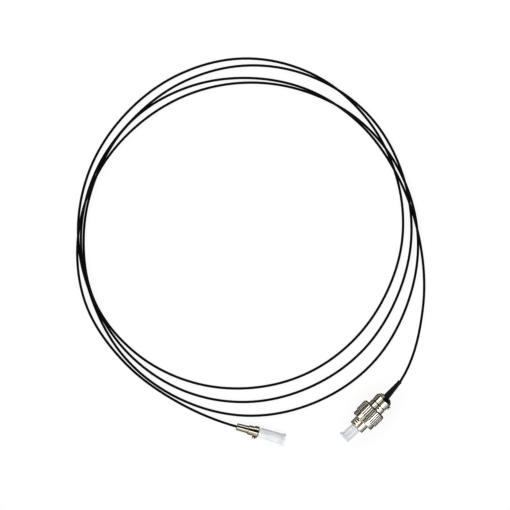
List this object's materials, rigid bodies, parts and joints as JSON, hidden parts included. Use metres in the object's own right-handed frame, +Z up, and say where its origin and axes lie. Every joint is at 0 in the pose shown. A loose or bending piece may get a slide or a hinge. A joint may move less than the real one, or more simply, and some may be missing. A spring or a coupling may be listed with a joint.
{
  "type": "fibre optic patch cord",
  "caption": "Loosely coiled thin black fibre optic patch cord between a threaded round connector and a bare flanged ferrule, each under a dust cap.",
  "frame": {"origin": "on the floor under the middle of the whole object's outline seen from above", "axes": "+Z up; +Y across the coil towards its side away from both ends; +X across the coil towards the threaded connector's side"},
  "size_m": [0.1349, 0.15, 0.01],
  "materials": {
    "cord_jacket": "satin black",
    "boot_rubber": "matt black",
    "nickel_plated_brass": "bright nickel plating",
    "zirconia": "polished white ceramic",
    "natural_polythene": "translucent, uncoloured"
  },
  "bodies": {
    "cord_and_housings": {"cord": "cord_jacket", "boot": "boot_rubber", "rear_body": "nickel_plated_brass", "bearing_ring": "nickel_plated_brass", "front_shell": "nickel_plated_brass", "ferrule_flange": "nickel_plated_brass", "bare_ferrule": "zirconia"},
    "nut": {"coupling_nut": "nickel_plated_brass"},
    "sprung_ferrule": {"connector_ferrule": "zirconia"},
    "connector_dust_cap": {"connector_cap": "natural_polythene"},
    "bare_ferrule_dust_cap": {"bare_ferrule_cap": "natural_polythene"}
  },
  "joints": [
    {"name": "nut_turn", "type": "hinge", "parent": "cord_and_housings", "child": "nut", "pos_m": [0.04256, -0.06526, 0.005], "axis": [-0.7071, -0.7071, 0], "continuous": true},
    {"name": "ferrule_float", "type": "slide", "parent": "cord_and_housings", "child": "sprung_ferrule", "axis": [0.7071, 0.7071, 0], "range_m": [0, 0.0008], "stiffness_N_per_m": 200, "springref_m": -0.0008},
    {"name": "connector_cap_pull", "type": "slide", "parent": "sprung_ferrule", "child": "connector_dust_cap", "axis": [-0.7373, -0.6756, 0], "range_m": [0, 0.008]},
    {"name": "bare_ferrule_cap_pull", "type": "slide", "parent": "cord_and_housings", "child": "bare_ferrule_dust_cap", "axis": [0.9563, -0.2924, 0], "range_m": [0, 0.0085]}
  ]
}
